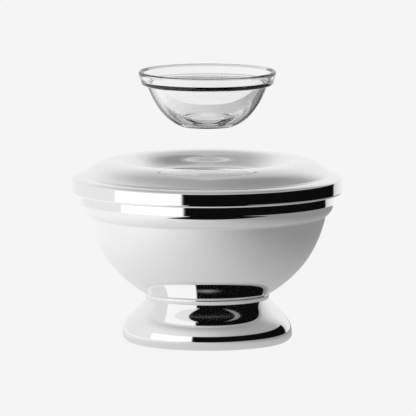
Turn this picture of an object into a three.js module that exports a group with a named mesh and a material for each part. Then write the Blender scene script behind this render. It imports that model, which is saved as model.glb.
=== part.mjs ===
// Footed chilled server: a glass insert bowl over a domed collar, an ice bowl and a hollow foot.
//
// Lengths are millimetres and angles are degrees. +Z is up, and the origin is the centre of the
// ring that the foot stands on. Every part is turned about Z, so its shape is a profile of (radius, height).
// A slope is an angle from level. A reach is how far a curve holds its direction as it leaves a point.

import * as THREE from 'three';

// Facets round every turned part, and the air left between parts that touch.
const FACETS = 40;
const CLEARANCE = 0.3;

// Foot: one hollow bell of sheet steel, curled under at its lower edge.
const FOOT_SHEET = 0.9;
const FOOT_RADIUS = 37.7;
const FOOT_BULGE_HEIGHT = 3.7;
const TREAD_OUTER_RADIUS = 31.9;
const TREAD_INNER_RADIUS = 30.8;
const CURL_RADIUS = 1.5;
const CURL_HEIGHT = 3.2;
const FLANGE_RADIUS = 20.5;
const BULGE_REACH = 8;
const FOOT_NECK_REACH = 9.9;

// Neck: where the bowl's underside meets the top of the foot.
const NECK_RADIUS = 26.3;
const NECK_HEIGHT = 21.07;
const NECK_BOWL_SLOPE = 31.1;
const NECK_FOOT_SLOPE = 55.8;
const SEAM_SIZE = 1.4;

// Ice bowl: one sheet, stepped out to an upright band below the rim and closed by a rolled bead.
const BOWL_SHEET = 1.0;
const BOWL_BOTTOM_HEIGHT = 13.9;
const STEP_RADIUS = 52.8;
const STEP_HEIGHT = 56.7;
const STEP_SLOPE = 76.5;
const BAND_RADIUS = 56.3;
const BAND_START_HEIGHT = 62.9;
const BEAD_RADIUS = 1.3;
const BEAD_HEIGHT = 71.9;
const BOTTOM_REACH = 13;
const BELOW_NECK_REACH = 9;
const ABOVE_NECK_REACH = 16.6;
const STEP_REACH = 17.9;

// Collar: a pressed ring with a well for the insert, a rounded dome, a brim and a hemmed skirt.
const COLLAR_SHEET = 0.9;
const COLLAR_RADIUS = 60;
const SKIRT_BOTTOM_HEIGHT = 66.8;
const SKIRT_TOP_HEIGHT = 72.6;
const HEM_HEIGHT = 3;
const GROOVE_RADIUS = 54.7;
const GROOVE_HEIGHT = 74.8;
const BRIM_SLOPE = 11.4;
const DOME_SLOPE = 58.8;
const CREST_RADIUS = 40.7;
const CREST_HEIGHT = 81.6;
const SEAT_OUTER_RADIUS = 30.4;
const SEAT_HEIGHT = 75;
const HOLE_RADIUS = 27.3;
const HOLE_LIP_RADIUS = 1.1;
const HOLE_LIP_HEIGHT = 2.2;
const SEAT_SLOPE = 36;
const SKIRT_REACH = 1.9;
const BRIM_REACH = 1.2;
const DOME_FOOT_REACH = 3.7;
const DOME_CREST_REACH = 7.2;
const WELL_CREST_REACH = 5.5;
const SEAT_REACH = 5;

// Glass insert: heights are above its own base, which floats above the collar.
const GLASS_BASE_HEIGHT = 96.5;
const GLASS_HEIGHT = 24.6;
const GLASS_BASE_RADIUS = 11.8;
const GLASS_FLOOR_THICKNESS = 2.6;
const GLASS_FLOOR_RADIUS = 9.4;
const SHOULDER_RADIUS = 26.8;
const SHOULDER_HEIGHT = 18.2;
const SHOULDER_ROUND = 1.9;
const GLASS_BAND_RADIUS = 29.5;
const GLASS_LIP_RADIUS = 30.6;
const GLASS_LIP_ROUND = 0.9;
const LEDGE_RADIUS = 25;
const LEDGE_HEIGHT = 19.1;
const LEDGE_SLOPE = 32;
const LEDGE_WIDTH = 2.6;
const GLASS_MOUTH_RADIUS = 28.3;
const BASE_SLOPE = 20;
const BASE_REACH = 9;
const SHOULDER_SLOPE = 69;
const SHOULDER_REACH = 6.5;
const CUP_SLOPE = 66;
const CUP_REACH = 6.5;
const FLOOR_SLOPE = 14;
const FLOOR_REACH = 8.5;

const radians = (angle) => THREE.MathUtils.degToRad(angle);

const point = (radius, height) => new THREE.Vector2(radius, height);

// The point at a distance from start, in a direction measured up from straight outwards.
function along(start, angle, distance) {
  return point(
    start.x + distance * Math.cos(radians(angle)),
    start.y + distance * Math.sin(radians(angle)),
  );
}

// A smooth curve between two points. Each end leaves along its own direction for its own reach.
function sweep(start, startAngle, startReach, end, endAngle, endReach, steps) {
  const curve = new THREE.CubicBezierCurve(
    start,
    along(start, startAngle, startReach),
    along(end, endAngle, endReach),
    end,
  );
  return curve.getPoints(steps);
}

function arc(centre, radius, from, to, steps) {
  const points = [];
  for (let i = 0; i <= steps; i += 1) {
    points.push(along(centre, from + ((to - from) * i) / steps, radius));
  }
  return points;
}

// Joins stretches of a profile end to end and drops the points that two stretches share.
function chain(...stretches) {
  const tolerance = 1e-6;
  return stretches.flat().filter((p, i, all) => i === 0 || p.distanceTo(all[i - 1]) > tolerance);
}

// The same line moved sideways to its left by a distance, with each corner mitred.
function offset(line, distance) {
  return line.map((p, i) => {
    const before = line[Math.max(i - 1, 0)];
    const after = line[Math.min(i + 1, line.length - 1)];
    const incoming = p.clone().sub(before).normalize();
    const outgoing = after.clone().sub(p).normalize();
    const tangent = incoming.add(outgoing).normalize();
    const reference = outgoing.lengthSq() > 0 ? outgoing : p.clone().sub(before).normalize();
    const stretch = distance / Math.max(tangent.dot(reference), 0.5);
    return point(p.x - tangent.y * stretch, p.y + tangent.x * stretch);
  });
}

// A solid turned from a profile that either closes on itself or starts and ends on the axis.
function turned(name, profile, material) {
  const onAxis = profile[0].x === 0;
  const closed = onAxis ? profile : [...profile, profile[0].clone()];
  const geometry = new THREE.LatheGeometry(closed, FACETS);
  geometry.rotateX(Math.PI / 2);
  const mesh = new THREE.Mesh(geometry, material);
  mesh.name = name;
  return mesh;
}

const polishedSteel = () => new THREE.MeshStandardMaterial({
  color: 0xd4d5d6,
  roughness: 0.08,
  metalness: 1,
});

// The foot's outer face runs in from its curled edge to the brazing flange under the bowl.
function footProfile() {
  const underBowl = CLEARANCE / Math.cos(radians(NECK_BOWL_SLOPE));
  const neck = point(NECK_RADIUS, NECK_HEIGHT - underBowl);
  const bulge = point(FOOT_RADIUS, FOOT_BULGE_HEIGHT);
  const flangeLength = (NECK_RADIUS - FLANGE_RADIUS) / Math.cos(radians(NECK_BOWL_SLOPE));
  const flangeTip = along(neck, 180 + NECK_BOWL_SLOPE, flangeLength);
  const curlCentre = point(TREAD_INNER_RADIUS, CURL_RADIUS);
  const roll = new THREE.EllipseCurve(
    TREAD_OUTER_RADIUS,
    FOOT_BULGE_HEIGHT,
    FOOT_RADIUS - TREAD_OUTER_RADIUS,
    FOOT_BULGE_HEIGHT,
    -Math.PI / 2,
    0,
  );
  const outer = chain(
    [point(TREAD_INNER_RADIUS - CURL_RADIUS, CURL_HEIGHT)],
    arc(curlCentre, CURL_RADIUS, 180, 270, 3),
    roll.getPoints(5),
    sweep(bulge, 90, BULGE_REACH, neck, -NECK_FOOT_SLOPE, FOOT_NECK_REACH, 9),
    [flangeTip],
  );
  const inner = offset(outer, FOOT_SHEET);
  return [...outer, ...inner.reverse()];
}

// The brazed seam is a thin three-sided ring in the notch between the bowl and the foot.
function seamProfile() {
  const notch = point(NECK_RADIUS, NECK_HEIGHT - CLEARANCE / 2);
  const middle = (NECK_BOWL_SLOPE - NECK_FOOT_SLOPE) / 2;
  const inside = along(notch, middle, CLEARANCE);
  return [
    inside,
    along(inside, -NECK_FOOT_SLOPE, SEAM_SIZE),
    along(inside, NECK_BOWL_SLOPE, SEAM_SIZE),
  ];
}

// The bowl's outer face runs from the axis up to the bead, and its inner face runs back down.
function bowlProfile() {
  const bottom = point(0, BOWL_BOTTOM_HEIGHT);
  const neck = point(NECK_RADIUS, NECK_HEIGHT);
  const step = point(STEP_RADIUS, STEP_HEIGHT);
  const rise = BAND_START_HEIGHT - STEP_HEIGHT;
  const shoulderTurn = 2 * THREE.MathUtils.radToDeg(Math.atan2(BAND_RADIUS - STEP_RADIUS, rise));
  const shoulderRadius = rise / Math.sin(radians(shoulderTurn));
  const shoulderCentre = point(BAND_RADIUS - shoulderRadius, BAND_START_HEIGHT);
  const beadCentre = point(BAND_RADIUS - BOWL_SHEET + BEAD_RADIUS, BEAD_HEIGHT);
  const beadStart = -THREE.MathUtils.radToDeg(Math.acos((BAND_RADIUS - beadCentre.x) / BEAD_RADIUS));
  const face = chain(
    sweep(bottom, 0, BOTTOM_REACH, neck, 180 + NECK_BOWL_SLOPE, BELOW_NECK_REACH, 6),
    sweep(neck, NECK_BOWL_SLOPE, ABOVE_NECK_REACH, step, 180 + STEP_SLOPE, STEP_REACH, 9),
    arc(shoulderCentre, shoulderRadius, -shoulderTurn, 0, 4),
  );
  const inner = offset(face, BOWL_SHEET);
  inner[0].x = 0;
  return chain(
    face,
    arc(beadCentre, BEAD_RADIUS, beadStart, 180, 8),
    inner.reverse(),
  );
}

// The collar's upper face runs from the hem at the skirt's lower edge in to the lip of the hole.
function collarProfile() {
  const skirtTop = point(COLLAR_RADIUS, SKIRT_TOP_HEIGHT);
  const groove = point(GROOVE_RADIUS, GROOVE_HEIGHT);
  const crest = point(CREST_RADIUS, CREST_HEIGHT);
  const seatEdge = point(SEAT_OUTER_RADIUS, SEAT_HEIGHT);
  const lipCentre = point(HOLE_RADIUS + HOLE_LIP_RADIUS, SEAT_HEIGHT - HOLE_LIP_RADIUS);
  const hemThickness = 2 * COLLAR_SHEET;
  const hemCentre = point(COLLAR_RADIUS - COLLAR_SHEET, SKIRT_BOTTOM_HEIGHT + COLLAR_SHEET);
  const face = chain(
    sweep(skirtTop, 90, SKIRT_REACH, groove, -BRIM_SLOPE, BRIM_REACH, 4),
    sweep(groove, 180 - DOME_SLOPE, DOME_FOOT_REACH, crest, 0, DOME_CREST_REACH, 6),
    sweep(crest, 180, WELL_CREST_REACH, seatEdge, SEAT_SLOPE, SEAT_REACH, 6),
    arc(lipCentre, HOLE_LIP_RADIUS, 90, 180, 3),
    [point(HOLE_RADIUS, SEAT_HEIGHT - HOLE_LIP_HEIGHT)],
  );
  const underside = offset(face, COLLAR_SHEET);
  const hemTop = SKIRT_BOTTOM_HEIGHT + HEM_HEIGHT;
  return [
    ...arc(hemCentre, COLLAR_SHEET, -180, 0, 6),
    ...face,
    ...underside.reverse(),
    point(COLLAR_RADIUS - COLLAR_SHEET, hemTop),
    point(COLLAR_RADIUS - hemThickness, hemTop),
  ];
}

// The glass's outer face runs from the axis up to the lip, and its inner face runs back down.
function glassProfile() {
  const base = point(GLASS_BASE_RADIUS, 0);
  const shoulder = point(SHOULDER_RADIUS, SHOULDER_HEIGHT);
  const bandCorner = point(GLASS_BAND_RADIUS - SHOULDER_ROUND, SHOULDER_HEIGHT + SHOULDER_ROUND);
  const lipCentre = point(GLASS_LIP_RADIUS - GLASS_LIP_ROUND, GLASS_HEIGHT - GLASS_LIP_ROUND);
  const mouth = point(GLASS_MOUTH_RADIUS, GLASS_HEIGHT - GLASS_LIP_ROUND);
  const ledge = point(LEDGE_RADIUS, LEDGE_HEIGHT);
  const floor = point(GLASS_FLOOR_RADIUS, GLASS_FLOOR_THICKNESS);
  const profile = chain(
    [point(0, 0)],
    sweep(base, BASE_SLOPE, BASE_REACH, shoulder, 180 + SHOULDER_SLOPE, SHOULDER_REACH, 8),
    arc(bandCorner, SHOULDER_ROUND, -90, 0, 4),
    arc(lipCentre, GLASS_LIP_ROUND, -30, 90, 4),
    [mouth, along(ledge, LEDGE_SLOPE, LEDGE_WIDTH)],
    sweep(ledge, 180 + CUP_SLOPE, CUP_REACH, floor, FLOOR_SLOPE, FLOOR_REACH, 7),
    [point(0, GLASS_FLOOR_THICKNESS)],
  );
  return profile.map((p) => point(p.x, p.y + GLASS_BASE_HEIGHT));
}

const glass = new THREE.MeshStandardMaterial({
  color: 0xf2f6f5,
  roughness: 0.02,
  metalness: 0,
  transparent: true,
  opacity: 0.35,
});

const server = new THREE.Group();
server.add(turned('glass_insert', glassProfile(), glass));
server.add(turned('collar', collarProfile(), polishedSteel()));
server.add(turned('ice_bowl', bowlProfile(), polishedSteel()));
server.add(turned('braze_seam', seamProfile(), polishedSteel()));
server.add(turned('foot', footProfile(), polishedSteel()));

export default server;
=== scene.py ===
"""Footed chilled server: a clear glass insert over a polished steel collar, ice bowl and foot.

Every part is turned about Z, so each is a profile of (radius, height) swept round the axis.
Profiles and places on the table are in millimetres, as a turner's drawing is, and everything else
is in metres.
"""

import math
import bpy
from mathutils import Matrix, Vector


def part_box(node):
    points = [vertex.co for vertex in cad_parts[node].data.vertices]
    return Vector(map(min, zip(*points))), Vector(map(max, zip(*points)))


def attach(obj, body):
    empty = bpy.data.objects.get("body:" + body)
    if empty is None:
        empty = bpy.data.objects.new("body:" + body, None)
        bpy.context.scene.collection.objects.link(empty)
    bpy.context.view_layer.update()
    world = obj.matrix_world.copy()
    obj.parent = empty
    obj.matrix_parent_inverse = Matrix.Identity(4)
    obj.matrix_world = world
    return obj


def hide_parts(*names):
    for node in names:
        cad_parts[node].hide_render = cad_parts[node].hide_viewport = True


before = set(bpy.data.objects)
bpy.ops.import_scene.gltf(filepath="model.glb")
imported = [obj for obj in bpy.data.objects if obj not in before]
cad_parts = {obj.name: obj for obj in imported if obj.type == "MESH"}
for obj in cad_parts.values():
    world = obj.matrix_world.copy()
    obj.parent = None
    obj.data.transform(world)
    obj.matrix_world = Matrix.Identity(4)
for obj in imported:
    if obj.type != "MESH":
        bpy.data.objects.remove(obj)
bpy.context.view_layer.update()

MM = 0.001
TAU = 2 * math.pi

# Quality of the turned surfaces: facets round the axis, and the longest step along a profile.
FACETS = 224
STEP = 0.75
FINE_STEP = 0.22

# Points of a profile closer than SAME_POINT are one, and a radius below ON_AXIS is on the axis.
SAME_POINT = 1e-4
ON_AXIS = 1e-6

# A swept curve is cut as if it were this much longer than the straight line between its ends.
CURVE_ALLOWANCE = 1.1

# Only a corner that turns further than this many degrees is rounded, over this share of each side.
SHARP_CORNER = 20
CORNER_SHARE = 0.45

# The least cosine that a mitred corner is divided by.
MITRE_LIMIT = 0.5

# Foot.
FOOT_SHEET = 0.9
FOOT_RADIUS = 37.7
FOOT_BULGE_HEIGHT = 3.7
TREAD_OUTER_RADIUS = 31.9
TREAD_INNER_RADIUS = 30.8
CURL_RADIUS = 1.5
CURL_HEIGHT = 3.2
FLANGE_RADIUS = 20.5
BULGE_REACH = 8
FOOT_NECK_REACH = 9.9

# Neck, where the bowl stands on the foot.
CLEARANCE = 0.3
NECK_RADIUS = 26.3
NECK_HEIGHT = 21.07
NECK_BOWL_SLOPE = 31.1
NECK_FOOT_SLOPE = 55.8
SEAM_SIZE = 1.4
SEAM_HOLLOW = 0.3
SEAM_STEP = 0.06

# Ice bowl.
BOWL_SHEET = 1.0
BOWL_BOTTOM_HEIGHT = 13.9
STEP_RADIUS = 52.8
STEP_HEIGHT = 56.7
STEP_SLOPE = 76.5
BAND_RADIUS = 56.3
BAND_START_HEIGHT = 62.9
BEAD_RADIUS = 1.3
BEAD_HEIGHT = 71.9
BOTTOM_REACH = 13
BELOW_NECK_REACH = 9
ABOVE_NECK_REACH = 16.6
STEP_REACH = 17.9

# Collar.
COLLAR_SHEET = 0.9
COLLAR_RADIUS = 60
SKIRT_BOTTOM_HEIGHT = 66.8
SKIRT_TOP_HEIGHT = 72.6
HEM_HEIGHT = 3
GROOVE_RADIUS = 54.7
GROOVE_HEIGHT = 74.8
BRIM_SLOPE = 11.4
DOME_SLOPE = 58.8
CREST_RADIUS = 40.7
CREST_HEIGHT = 81.6
SEAT_OUTER_RADIUS = 30.4
SEAT_HEIGHT = 75
HOLE_RADIUS = 27.3
HOLE_LIP_RADIUS = 1.1
HOLE_LIP_HEIGHT = 2.2
SEAT_SLOPE = 36
SKIRT_REACH = 1.9
BRIM_REACH = 1.2
DOME_FOOT_REACH = 3.7
DOME_CREST_REACH = 7.2
WELL_CREST_REACH = 5.5
SEAT_REACH = 5

# Glass insert, with heights above its own base.
GLASS_HEIGHT = 24.6
GLASS_BASE_RADIUS = 11.8
GLASS_FLOOR_THICKNESS = 2.6
GLASS_FLOOR_RADIUS = 9.4
SHOULDER_RADIUS = 26.8
SHOULDER_HEIGHT = 18.2
SHOULDER_ROUND = 1.9
GLASS_BAND_RADIUS = 29.5
GLASS_LIP_RADIUS = 30.6
GLASS_LIP_ROUND = 0.9
GLASS_LIP_START = -30
GLASS_EDGE_ROUND = 0.5
LEDGE_RADIUS = 25
LEDGE_HEIGHT = 19.1
LEDGE_SLOPE = 32
LEDGE_WIDTH = 2.6
GLASS_MOUTH_RADIUS = 28.3
BASE_SLOPE = 20
BASE_REACH = 9
SHOULDER_SLOPE = 69
SHOULDER_REACH = 6.5
CUP_SLOPE = 66
CUP_REACH = 6.5
FLOOR_SLOPE = 14
FLOOR_REACH = 8.5


# ---------------------------------------------------------------- profiles


def along(start, angle, distance):
    """The point at a distance from start, in a direction measured up from straight outwards."""
    turn = math.radians(angle)
    return (start[0] + distance * math.cos(turn), start[1] + distance * math.sin(turn))


def line(*points, step=STEP):
    """Straight stretches through the points, cut into steps."""
    made = [points[0]]
    for a, b in zip(points[:-1], points[1:]):
        count = max(1, math.ceil(math.dist(a, b) / step))
        for i in range(1, count + 1):
            made.append((a[0] + (b[0] - a[0]) * i / count, a[1] + (b[1] - a[1]) * i / count))
    return made


def arc(centre, radius, start, end, step=FINE_STEP):
    """Part of a circle from one angle to another."""
    count = max(3, math.ceil(abs(math.radians(end - start)) * radius / step))
    return [along(centre, start + (end - start) * i / count, radius) for i in range(count + 1)]


def sweep(start, start_angle, start_reach, end, end_angle, end_reach, step=STEP):
    """A smooth curve between two points. Each end leaves along its own direction for its reach."""
    first = along(start, start_angle, start_reach)
    second = along(end, end_angle, end_reach)
    count = max(4, math.ceil(math.dist(start, end) * CURVE_ALLOWANCE / step))
    made = []
    for i in range(count + 1):
        t = i / count
        s = 1 - t
        weights = (s**3, 3 * s * s * t, 3 * s * t * t, t**3)
        corners = (start, first, second, end)
        made.append(tuple(sum(w * c[k] for w, c in zip(weights, corners)) for k in (0, 1)))
    return made


def chain(*stretches):
    """Stretches joined end to end, without the points that two of them share."""
    made = []
    for stretch in stretches:
        for p in stretch:
            if not made or math.dist(made[-1], p) > SAME_POINT:
                made.append(p)
    return made


def rounded(points, radius, step=FINE_STEP):
    """The same open outline with each sharp corner turned by a small curve."""
    made = [points[0]]
    for before, p, after in zip(points[:-2], points[1:-1], points[2:]):
        u = Vector((before[0] - p[0], before[1] - p[1]))
        v = Vector((after[0] - p[0], after[1] - p[1]))
        turn = math.pi - u.angle(v)
        if turn < math.radians(SHARP_CORNER):
            made.append(p)
            continue
        cut = min(radius * math.tan(turn / 2), CORNER_SHARE * u.length, CORNER_SHARE * v.length)
        a = Vector(p) + u.normalized() * cut
        b = Vector(p) + v.normalized() * cut
        pieces = max(3, math.ceil(turn * radius / step))
        for k in range(pieces + 1):
            t = k / pieces
            q = a * (1 - t) ** 2 + Vector(p) * 2 * t * (1 - t) + b * t * t
            made.append((q.x, q.y))
    made.append(points[-1])
    return made


def offset(points, distance):
    """The same line moved to its left by a distance, with each corner mitred."""
    made = []
    for i, p in enumerate(points):
        before, after = points[max(i - 1, 0)], points[min(i + 1, len(points) - 1)]
        came = Vector((p[0] - before[0], p[1] - before[1]))
        goes = Vector((after[0] - p[0], after[1] - p[1]))
        came, goes = (came or goes).normalized(), (goes or came).normalized()
        tangent = (came + goes).normalized()
        stretch = distance / max(tangent.dot(goes), MITRE_LIMIT)
        made.append((p[0] - tangent.y * stretch, p[1] + tangent.x * stretch))
    return made


def ellipse_quarter(centre, across, down, step=FINE_STEP):
    """A quarter of an ellipse, from its lowest point to its outermost."""
    count = max(6, math.ceil(math.pi / 2 * max(across, down) / step))
    turns = [math.pi / 2 * (i / count - 1) for i in range(count + 1)]
    return [(centre[0] + across * math.cos(t), centre[1] + down * math.sin(t)) for t in turns]


def foot_profile():
    """A hollow bell: curled edge, tread, bulge, waist, and a flange under the bowl."""
    slope = math.radians(NECK_BOWL_SLOPE)
    neck = (NECK_RADIUS, NECK_HEIGHT - CLEARANCE / math.cos(slope))
    bulge = (FOOT_RADIUS, FOOT_BULGE_HEIGHT)
    flange_length = (NECK_RADIUS - FLANGE_RADIUS) / math.cos(slope)
    flange_tip = along(neck, 180 + NECK_BOWL_SLOPE, flange_length)
    curl_centre = (TREAD_INNER_RADIUS, CURL_RADIUS)
    roll = ellipse_quarter(
        (TREAD_OUTER_RADIUS, FOOT_BULGE_HEIGHT),
        FOOT_RADIUS - TREAD_OUTER_RADIUS,
        FOOT_BULGE_HEIGHT,
    )
    outer = chain(
        line((TREAD_INNER_RADIUS - CURL_RADIUS, CURL_HEIGHT), along(curl_centre, 180, CURL_RADIUS)),
        arc(curl_centre, CURL_RADIUS, 180, 270),
        roll,
        sweep(bulge, 90, BULGE_REACH, neck, -NECK_FOOT_SLOPE, FOOT_NECK_REACH),
        line(neck, flange_tip),
    )
    return outer + offset(outer, FOOT_SHEET)[::-1]


def seam_profile():
    """A soft bead of braze that fills the notch between the bowl and the foot."""
    bowl_side = (NECK_RADIUS, NECK_HEIGHT)
    foot_side = (NECK_RADIUS, NECK_HEIGHT - CLEARANCE / math.cos(math.radians(NECK_BOWL_SLOPE)))
    upper = along(bowl_side, NECK_BOWL_SLOPE, SEAM_SIZE)
    lower = along(foot_side, -NECK_FOOT_SLOPE, SEAM_SIZE)
    hollow = SEAM_HOLLOW * SEAM_SIZE
    face = sweep(lower, NECK_BOWL_SLOPE, hollow, upper, -NECK_FOOT_SLOPE, hollow, step=SEAM_STEP)
    return [(NECK_RADIUS - CLEARANCE, NECK_HEIGHT - CLEARANCE)] + face


def bowl_profile():
    """One sheet: dished bottom, body, a step out to the upright band, and a rolled bead."""
    bottom = (0, BOWL_BOTTOM_HEIGHT)
    neck = (NECK_RADIUS, NECK_HEIGHT)
    step = (STEP_RADIUS, STEP_HEIGHT)
    rise = BAND_START_HEIGHT - STEP_HEIGHT
    turn = 2 * math.degrees(math.atan2(BAND_RADIUS - STEP_RADIUS, rise))
    radius = rise / math.sin(math.radians(turn))
    shoulder = (BAND_RADIUS - radius, BAND_START_HEIGHT)
    bead = (BAND_RADIUS - BOWL_SHEET + BEAD_RADIUS, BEAD_HEIGHT)
    bead_start = -math.degrees(math.acos((BAND_RADIUS - bead[0]) / BEAD_RADIUS))
    bead_foot = along(bead, bead_start, BEAD_RADIUS)
    face = chain(
        sweep(bottom, 0, BOTTOM_REACH, neck, 180 + NECK_BOWL_SLOPE, BELOW_NECK_REACH),
        sweep(neck, NECK_BOWL_SLOPE, ABOVE_NECK_REACH, step, 180 + STEP_SLOPE, STEP_REACH),
        arc(shoulder, radius, -turn, 0),
        line((BAND_RADIUS, BAND_START_HEIGHT), bead_foot),
    )
    inner = offset(face, BOWL_SHEET)
    inner[0] = (0, inner[0][1])
    return chain(face, arc(bead, BEAD_RADIUS, bead_start, 180), inner[::-1])


def collar_profile():
    """One pressed ring: hemmed skirt, brim, dome, well, and the rolled lip of the hole."""
    skirt_top = (COLLAR_RADIUS, SKIRT_TOP_HEIGHT)
    groove = (GROOVE_RADIUS, GROOVE_HEIGHT)
    crest = (CREST_RADIUS, CREST_HEIGHT)
    seat = (SEAT_OUTER_RADIUS, SEAT_HEIGHT)
    lip = (HOLE_RADIUS + HOLE_LIP_RADIUS, SEAT_HEIGHT - HOLE_LIP_RADIUS)
    hem = (COLLAR_RADIUS - COLLAR_SHEET, SKIRT_BOTTOM_HEIGHT + COLLAR_SHEET)
    hem_top = SKIRT_BOTTOM_HEIGHT + HEM_HEIGHT
    lip_end = (HOLE_RADIUS, SEAT_HEIGHT - HOLE_LIP_HEIGHT)
    face = chain(
        line(along(hem, 0, COLLAR_SHEET), skirt_top),
        sweep(skirt_top, 90, SKIRT_REACH, groove, -BRIM_SLOPE, BRIM_REACH, step=FINE_STEP),
        sweep(groove, 180 - DOME_SLOPE, DOME_FOOT_REACH, crest, 0, DOME_CREST_REACH),
        sweep(crest, 180, WELL_CREST_REACH, seat, SEAT_SLOPE, SEAT_REACH),
        line(seat, along(lip, 90, HOLE_LIP_RADIUS)),
        arc(lip, HOLE_LIP_RADIUS, 90, 180),
        line(along(lip, 180, HOLE_LIP_RADIUS), lip_end),
    )
    underside = offset(face, COLLAR_SHEET)
    above_hem = [p for p in underside if p[1] > hem_top or p[0] < GROOVE_RADIUS]
    return chain(
        arc(hem, COLLAR_SHEET, -180, 0),
        face,
        above_hem[::-1],
        line((COLLAR_RADIUS - COLLAR_SHEET, hem_top), (COLLAR_RADIUS - 2 * COLLAR_SHEET, hem_top)),
    )


def glass_profile(base_height):
    """Pressed glass: thick floor, bell-shaped cup, stacking band, round lip and an inner ledge."""
    base = (GLASS_BASE_RADIUS, 0)
    shoulder = (SHOULDER_RADIUS, SHOULDER_HEIGHT)
    band = (GLASS_BAND_RADIUS - SHOULDER_ROUND, SHOULDER_HEIGHT + SHOULDER_ROUND)
    lip = (GLASS_LIP_RADIUS - GLASS_LIP_ROUND, GLASS_HEIGHT - GLASS_LIP_ROUND)
    mouth = (GLASS_MOUTH_RADIUS, GLASS_HEIGHT - GLASS_LIP_ROUND)
    ledge = (LEDGE_RADIUS, LEDGE_HEIGHT)
    floor = (GLASS_FLOOR_RADIUS, GLASS_FLOOR_THICKNESS)
    outside = chain(
        line((0, 0), base),
        sweep(base, BASE_SLOPE, BASE_REACH, shoulder, 180 + SHOULDER_SLOPE, SHOULDER_REACH),
        arc(band, SHOULDER_ROUND, -90, 0),
        line((GLASS_BAND_RADIUS, band[1]), along(lip, GLASS_LIP_START, GLASS_LIP_ROUND)),
        arc(lip, GLASS_LIP_ROUND, GLASS_LIP_START, 90),
    )
    inside = chain(
        line(mouth, along(ledge, LEDGE_SLOPE, LEDGE_WIDTH), ledge),
        sweep(ledge, 180 + CUP_SLOPE, CUP_REACH, floor, FLOOR_SLOPE, FLOOR_REACH),
        line(floor, (0, GLASS_FLOOR_THICKNESS)),
    )
    soft = rounded(chain(outside, inside), GLASS_EDGE_ROUND)
    return [(r, z + base_height) for r, z in soft]


# ---------------------------------------------------------------- pieces


def turned(name, profile, material):
    """A closed mesh turned about Z from a profile that closes on itself or meets the axis twice."""
    meets_axis = profile[0][0] < ON_AXIS
    rings, vertices, faces = [], [], []
    for radius, height in profile:
        if radius < ON_AXIS:
            rings.append([len(vertices)] * FACETS)
            vertices.append((0, 0, height * MM))
            continue
        rings.append(list(range(len(vertices), len(vertices) + FACETS)))
        for i in range(FACETS):
            turn = TAU * i / FACETS
            vertices.append((radius * MM * math.cos(turn), radius * MM * math.sin(turn), height * MM))
    pairs = list(zip(rings[:-1], rings[1:]))
    if not meets_axis:
        pairs.append((rings[-1], rings[0]))
    for low, high in pairs:
        for i in range(FACETS):
            j = (i + 1) % FACETS
            corners = [low[i], low[j], high[j], high[i]]
            faces.append([c for k, c in enumerate(corners) if c not in corners[:k]])
    mesh = bpy.data.meshes.new(name)
    mesh.from_pydata(vertices, [], faces)
    mesh.validate()
    mesh.shade_smooth()
    mesh.materials.append(material)
    piece = bpy.data.objects.new(name, mesh)
    bpy.context.scene.collection.objects.link(piece)
    return piece


def place(piece, node, body):
    """The piece stands for a CAD node, whose part it hides, and moves with its body."""
    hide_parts(node)
    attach(piece, body)


# ---------------------------------------------------------------- materials

# A scale is in marks per metre. A stretch squeezes a texture along (azimuth, radius, height), and
# a depth is how deep a bump is, in metres.
NOISE_ROUGHNESS = 0.55
NOISE_LOW = 0.3
NOISE_HIGH = 0.7

# Polished steel: a faint haze, hairlines and rings from the polishing, and waves from the press.
STEEL_DARK = (0.86, 0.86, 0.866)
STEEL_LIGHT = (0.882, 0.882, 0.887)
STEEL_ROUGHNESS = 0.035
HAZE_SCALE = 38
HAZE_SPREAD = 0.25
HAIRLINE_STRETCH = (2.2, 5200, 5200)
HAIRLINE_RANGE = (0.55, 0.8)
HAIRLINE_SHARE = 0.8
HAIRLINE_DEPTH = 0.00000003
RING_STRETCH = (0.05, 900, 900)
RING_DEPTH = 0.0000002
WAVE_SCALE = 22
WAVE_DEPTH = 0.00002

# Pressed glass: waves from the mould, and cords that run round it.
GLASS_DARK = (0.99, 0.995, 0.993)
GLASS_LIGHT = (1, 1, 1)
GLASS_IOR = 1.52
CORD_STRETCH = (3.5, 60, 60)
CORD_DEPTH = 0.00001
MOULD_SCALE = 48
MOULD_DEPTH = 0.00004

# Braze: blotches where it flowed, and the grain of the buffing.
BRAZE_DARK = (0.84, 0.838, 0.832)
BRAZE_LIGHT = (0.88, 0.879, 0.874)
BRAZE_ROUGHNESS = (0.08, 0.16)
GRAIN_STRETCH = (4, 2500, 2500)
GRAIN_DEPTH = 0.0000003
BLOTCH_SCALE = 260
BLOTCH_DEPTH = 0.000006


class Nodes:
    """A short way to write a node tree."""

    def __init__(self, name):
        self.material = bpy.data.materials.new(name)
        self.material.use_nodes = True
        self.tree = self.material.node_tree
        self.tree.nodes.clear()
        self.output = self.add("ShaderNodeOutputMaterial")

    def add(self, kind, values=None, **settings):
        node = self.tree.nodes.new(kind)
        for key, value in settings.items():
            setattr(node, key, value)
        for key, value in (values or {}).items():
            node.inputs[key].default_value = value
        return node

    def link(self, source, target):
        self.tree.links.new(source, target)

    def shader(self, values):
        node = self.add("ShaderNodeBsdfPrincipled", values)
        self.link(node.outputs["BSDF"], self.output.inputs["Surface"])
        return node


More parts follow.
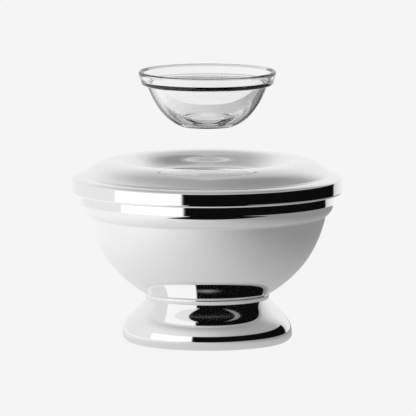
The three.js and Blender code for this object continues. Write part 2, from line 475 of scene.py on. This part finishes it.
def round_the_axis(nodes):
    """Coordinates of (azimuth, radius, height), so that a stretched texture runs round the part."""
    place_of = nodes.add("ShaderNodeTexCoord")
    split = nodes.add("ShaderNodeSeparateXYZ")
    nodes.link(place_of.outputs["Object"], split.inputs[0])
    azimuth = nodes.add("ShaderNodeMath", operation="ARCTAN2")
    nodes.link(split.outputs["Y"], azimuth.inputs[0])
    nodes.link(split.outputs["X"], azimuth.inputs[1])
    flat = nodes.add("ShaderNodeCombineXYZ")
    nodes.link(split.outputs["X"], flat.inputs["X"])
    nodes.link(split.outputs["Y"], flat.inputs["Y"])
    radius = nodes.add("ShaderNodeVectorMath", operation="LENGTH")
    nodes.link(flat.outputs[0], radius.inputs[0])
    made = nodes.add("ShaderNodeCombineXYZ")
    nodes.link(azimuth.outputs[0], made.inputs["X"])
    nodes.link(radius.outputs["Value"], made.inputs["Y"])
    nodes.link(split.outputs["Z"], made.inputs["Z"])
    return place_of.outputs["Object"], made.outputs[0]


def noise(nodes, vector, scale=1, stretch=(1, 1, 1), detail=3.0):
    """The value of a noise texture."""
    mapping = nodes.add("ShaderNodeMapping", {"Scale": stretch})
    nodes.link(vector, mapping.inputs["Vector"])
    values = {"Scale": scale, "Detail": detail, "Roughness": NOISE_ROUGHNESS}
    texture = nodes.add("ShaderNodeTexNoise", values)
    nodes.link(mapping.outputs[0], texture.inputs["Vector"])
    return texture.outputs["Fac"]


def remap(nodes, value, low, high, start=NOISE_LOW, end=NOISE_HIGH):
    """The value from start to end turned into low to high."""
    values = {"From Min": start, "From Max": end, "To Min": low, "To Max": high}
    made = nodes.add("ShaderNodeMapRange", values)
    nodes.link(value, made.inputs["Value"])
    return made.outputs["Result"]


def bumps(nodes, shader, *layers):
    """Bumps laid on each other, each a (height, depth in metres)."""
    below = None
    for height, depth in layers:
        bump = nodes.add("ShaderNodeBump", {"Strength": 1.0, "Distance": depth})
        nodes.link(height, bump.inputs["Height"])
        if below:
            nodes.link(below, bump.inputs["Normal"])
        below = bump.outputs["Normal"]
    nodes.link(below, shader.inputs["Normal"])


def tinted(nodes, shader, value, dark, light):
    """Base colour from dark to light, as the value goes from low to high."""
    ramp = nodes.add("ShaderNodeValToRGB")
    ramp.color_ramp.elements[0].position = NOISE_LOW
    ramp.color_ramp.elements[1].position = NOISE_HIGH
    ramp.color_ramp.elements[0].color = (*dark, 1)
    ramp.color_ramp.elements[1].color = (*light, 1)
    nodes.link(value, ramp.inputs["Fac"])
    nodes.link(ramp.outputs["Color"], shader.inputs["Base Color"])


def steel(name):
    """Mirror-polished sheet: slow waves from the press, polishing rings, hairlines and a little haze."""
    nodes = Nodes(name)
    shader = nodes.shader({"Metallic": 1})
    anywhere, around = round_the_axis(nodes)
    haze = noise(nodes, anywhere, HAZE_SCALE, detail=4)
    hairlines = noise(nodes, around, stretch=HAIRLINE_STRETCH, detail=2)
    rings = noise(nodes, around, stretch=RING_STRETCH)
    waves = noise(nodes, anywhere, WAVE_SCALE, detail=1)
    tinted(nodes, shader, haze, STEEL_DARK, STEEL_LIGHT)
    least = STEEL_ROUGHNESS * (1 - HAZE_SPREAD)
    most = STEEL_ROUGHNESS * (1 + HAZE_SPREAD)
    soft = remap(nodes, haze, least, most)
    streaked = remap(nodes, hairlines, 0, STEEL_ROUGHNESS * HAIRLINE_SHARE, *HAIRLINE_RANGE)
    total = nodes.add("ShaderNodeMath", operation="ADD")
    nodes.link(soft, total.inputs[0])
    nodes.link(streaked, total.inputs[1])
    nodes.link(total.outputs[0], shader.inputs["Roughness"])
    bumps(nodes, shader, (waves, WAVE_DEPTH), (rings, RING_DEPTH), (hairlines, HAIRLINE_DEPTH))
    return nodes.material


def glass(name):
    """Clear pressed glass with the slow waves that the mould leaves."""
    nodes = Nodes(name)
    shader = nodes.shader({"Roughness": 0.0, "IOR": GLASS_IOR, "Transmission Weight": 1})
    anywhere, around = round_the_axis(nodes)
    cords = noise(nodes, around, stretch=CORD_STRETCH, detail=1)
    waves = noise(nodes, anywhere, MOULD_SCALE, detail=1)
    tinted(nodes, shader, cords, GLASS_DARK, GLASS_LIGHT)
    bumps(nodes, shader, (waves, MOULD_DEPTH), (cords, CORD_DEPTH))
    return nodes.material


def braze(name):
    """Buffed silver braze, a little softer than the steel."""
    nodes = Nodes(name)
    shader = nodes.shader({"Metallic": 1})
    anywhere, around = round_the_axis(nodes)
    grain = noise(nodes, around, stretch=GRAIN_STRETCH)
    blotches = noise(nodes, anywhere, BLOTCH_SCALE)
    tinted(nodes, shader, blotches, BRAZE_DARK, BRAZE_LIGHT)
    nodes.link(remap(nodes, grain, *BRAZE_ROUGHNESS), shader.inputs["Roughness"])
    bumps(nodes, shader, (blotches, BLOTCH_DEPTH), (grain, GRAIN_DEPTH))
    return nodes.material


# ---------------------------------------------------------------- studio

# How bright the floor and the background are in the picture.
PAPER = 0.913

# The steel and the glass show a round light tent: bright at the left, dim at the right, pale at
# the back and dimmer overhead. Azimuth 0 is towards the camera and + is to its right. Azimuths and
# elevations are in degrees.
TENT_RADIUS = 0.4
TENT_FOOT = -3
TENT_STEP = 0.5
TENT_CROWN = 89.99
TENT_LEFT = 0.9
TENT_RIGHT = 0.4
BACK_FROM = 110
BACK_TO = 150
TENT_OVERHEAD = 0.6
OVERHEAD_FROM = 30
OVERHEAD_TO = 70

# The tent is open in front and round to the right, where the dark room shows, and beside the opening a
# white card is painted on the tent as a brighter glow.
ROOM = 0.004
OPENING = (-20, 130)
OPENING_TOP = 20
TOP_EDGE = 1
CARD_GLOW = 1.2
CARD_GLOW_ENDS = (-80, -20)
SOFT_EDGE = 3

# The table is white paper that glows with painted light, bright at the left and falling off to the
# right.
TABLE_HEIGHT = -0.5
TABLE_CENTRE = 0.01
TABLE_STEP = 2
TABLE_PAINTED_LIGHT_LEFT = 1.0
TABLE_PAINTED_LIGHT_RIGHT = 0.3
TABLE_PAINTED_LIGHT_FALL = 150
# A painted dark patch at the dark room's level lies in front on the table, and the steel shows it as a
# dark reflection.
DARK_PATCH_LEFT = -100
DARK_PATCH_RIGHT = 200
DARK_PATCH_BACK = -150
DARK_PATCH_EDGE = 5

# Columns of faces round the tent and the table.
COLUMNS = 360

# The floor that the camera sees.
FLOOR_HALF = 6
FLOOR_HEIGHT = -0.001

# The camera has a long lens and stands a few degrees above the table.
LENS = 1400
SENSOR = 36
HALF_WIDTH = 0.0924
CAMERA_ELEVATION = 6.8
AIM = (0.0003, 0, 0.0598)
CLIP = (0.1, 40)


def smooth(low, high, x):
    """0 below low, 1 above high, and a soft step between them."""
    t = min(1.0, max(0.0, (x - low) / (high - low)))
    return t * t * (3 - 2 * t)


def window(x, low, high, edge):
    """1 between low and high, with edges that are soft over that width."""
    return smooth(low - edge / 2, low + edge / 2, x) - smooth(high - edge / 2, high + edge / 2, x)


def mix(a, b, t):
    """From a at 0 to b at 1."""
    return a + (b - a) * t


def across(azimuth, radius):
    """How far right and how far back a place is from the axis."""
    turn = math.radians(azimuth)
    return math.sin(turn) * radius, -math.cos(turn) * radius


def tent_level(azimuth, elevation):
    """How bright the tent is at a place on it."""
    right = across(azimuth, math.cos(math.radians(elevation)))[0]
    level = mix(TENT_LEFT, TENT_RIGHT, smooth(-1, 1, right))
    level = mix(level, PAPER, smooth(BACK_FROM, BACK_TO, abs(azimuth)))
    level *= mix(1, TENT_OVERHEAD, smooth(OVERHEAD_FROM, OVERHEAD_TO, elevation))
    below = 1 - smooth(OPENING_TOP - TOP_EDGE, OPENING_TOP + TOP_EDGE, elevation)
    # A white card, painted as a brighter glow on the tent beside the opening.
    level = mix(level, CARD_GLOW, window(azimuth, *CARD_GLOW_ENDS, SOFT_EDGE) * below)
    return mix(level, ROOM, window(azimuth, *OPENING, SOFT_EDGE) * below)


def table_painted_light(azimuth, radius):
    """How bright the table's painted light is at a place on it: bright at the left, falling off to the
    right, with a painted dark patch in front.
    """
    right, back = across(azimuth, radius)
    # Painted light, bright at the left and falling off to the right.
    level = mix(TABLE_PAINTED_LIGHT_LEFT, TABLE_PAINTED_LIGHT_RIGHT, smooth(-TABLE_PAINTED_LIGHT_FALL, TABLE_PAINTED_LIGHT_FALL, right))
    # The painted dark patch in front, at the dark room's level.
    dark_patch = 1 - smooth(DARK_PATCH_BACK - DARK_PATCH_EDGE, DARK_PATCH_BACK + DARK_PATCH_EDGE, back)
    return mix(level, ROOM, window(right, DARK_PATCH_LEFT, DARK_PATCH_RIGHT, DARK_PATCH_EDGE) * dark_patch)


def stage_mesh(name, vertices, faces):
    """A mesh that belongs to the studio and not to the object."""
    mesh = bpy.data.meshes.new(name)
    mesh.from_pydata(vertices, [], faces)
    made = bpy.data.objects.new(name, mesh)
    bpy.context.scene.collection.objects.link(made)
    return made


def glow(name, level=None):
    """A surface that gives out its own light: one even level, or the level painted on its points."""
    nodes = Nodes(name)
    light = nodes.add("ShaderNodeEmission")
    if level is None:
        paint = nodes.add("ShaderNodeAttribute", attribute_name="level")
        nodes.link(paint.outputs["Fac"], light.inputs["Color"])
    else:
        light.inputs["Color"].default_value = (level, level, level, 1)
    nodes.link(light.outputs[0], nodes.output.inputs["Surface"])
    nodes.material.cycles.emission_sampling = "NONE"
    return nodes.material


def painted(name, rings, level_at):
    """A surface round the axis, from rings of (radius, height, place), bright as level_at says.

    The steel and the glass show it, and the camera doesn't see it directly.
    """
    vertices, faces, levels = [], [], []
    for radius, height, place_on in rings:
        for i in range(COLUMNS):
            azimuth = -180 + 360 * i / COLUMNS
            right, back = across(azimuth, radius)
            vertices.append((right, back, height))
            levels.append(level_at(azimuth, place_on))
    for k in range(len(rings) - 1):
        low, high = k * COLUMNS, (k + 1) * COLUMNS
        for i in range(COLUMNS):
            j = (i + 1) % COLUMNS
            faces.append((low + i, low + j, high + j, high + i))
    made = stage_mesh(name, vertices, faces)
    made.data.attributes.new("level", "FLOAT", "POINT").data.foreach_set("value", levels)
    made.data.materials.append(glow(name))
    made.visible_camera = False
    made.visible_shadow = False


def tent():
    """The tent, from a little below the table to the point overhead."""
    count = round((90 - TENT_FOOT) / TENT_STEP)
    elevations = [TENT_FOOT + TENT_STEP * k for k in range(count)] + [TENT_CROWN]
    rings = []
    for elevation in elevations:
        turn = math.radians(elevation)
        rings.append((TENT_RADIUS * math.cos(turn), TENT_RADIUS * math.sin(turn), elevation))
    painted("tent", rings, tent_level)


def table():
    """The table, out to the tent, glowing with its painted light."""
    radii = range(0, round(TENT_RADIUS / MM) + TABLE_STEP, TABLE_STEP)
    rings = [(max(r, TABLE_CENTRE) * MM, TABLE_HEIGHT * MM, r) for r in radii]
    painted("table", rings, table_painted_light)


def floor():
    """The plain pale floor that the camera sees, and the steel and the glass don't show."""
    near, far = -FLOOR_HALF, FLOOR_HALF
    corners = [(x, y, FLOOR_HEIGHT) for x, y in ((near, near), (far, near), (far, far), (near, far))]
    made = stage_mesh("floor", corners, [(0, 1, 2, 3)])
    made.data.materials.append(glow("floor paper", PAPER))
    made.visible_glossy = False
    made.visible_transmission = False


def camera():
    """The camera, at the photograph's viewing angle."""
    elevation = math.radians(CAMERA_ELEVATION)
    back = Vector((0, -math.cos(elevation), math.sin(elevation)))
    data = bpy.data.cameras.new("camera")
    data.lens = LENS
    data.sensor_width = SENSOR
    data.clip_start, data.clip_end = CLIP
    made = bpy.data.objects.new("camera", data)
    bpy.context.scene.collection.objects.link(made)
    made.location = Vector(AIM) + back * (HALF_WIDTH * 2 * LENS / SENSOR)
    made.rotation_mode = "QUATERNION"
    made.rotation_quaternion = (-back).to_track_quat("-Z", "Y")
    bpy.context.scene.camera = made


def studio():
    """The world, the floor, the tent and the table."""
    scene = bpy.context.scene
    scene.view_settings.view_transform = "Standard"
    scene.world = bpy.data.worlds.new("world")
    scene.world.use_nodes = True
    background = scene.world.node_tree.nodes["Background"]
    background.inputs["Color"].default_value = (PAPER, PAPER, PAPER, 1)
    floor()
    tent()
    table()


camera()
studio()

GLASS_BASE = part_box("glass_insert")[0].z / MM

foot = turned("foot_shell", foot_profile(), steel("foot steel"))
seam = turned("seam_ring", seam_profile(), braze("silver braze"))
bowl = turned("bowl_shell", bowl_profile(), steel("bowl steel"))
collar = turned("collar_shell", collar_profile(), steel("collar steel"))
insert = turned("glass_bowl", glass_profile(GLASS_BASE), glass("pressed glass"))

place(foot, "foot", "base")
place(seam, "braze_seam", "base")
place(bowl, "ice_bowl", "base")
place(collar, "collar", "collar")
place(insert, "glass_insert", "insert")
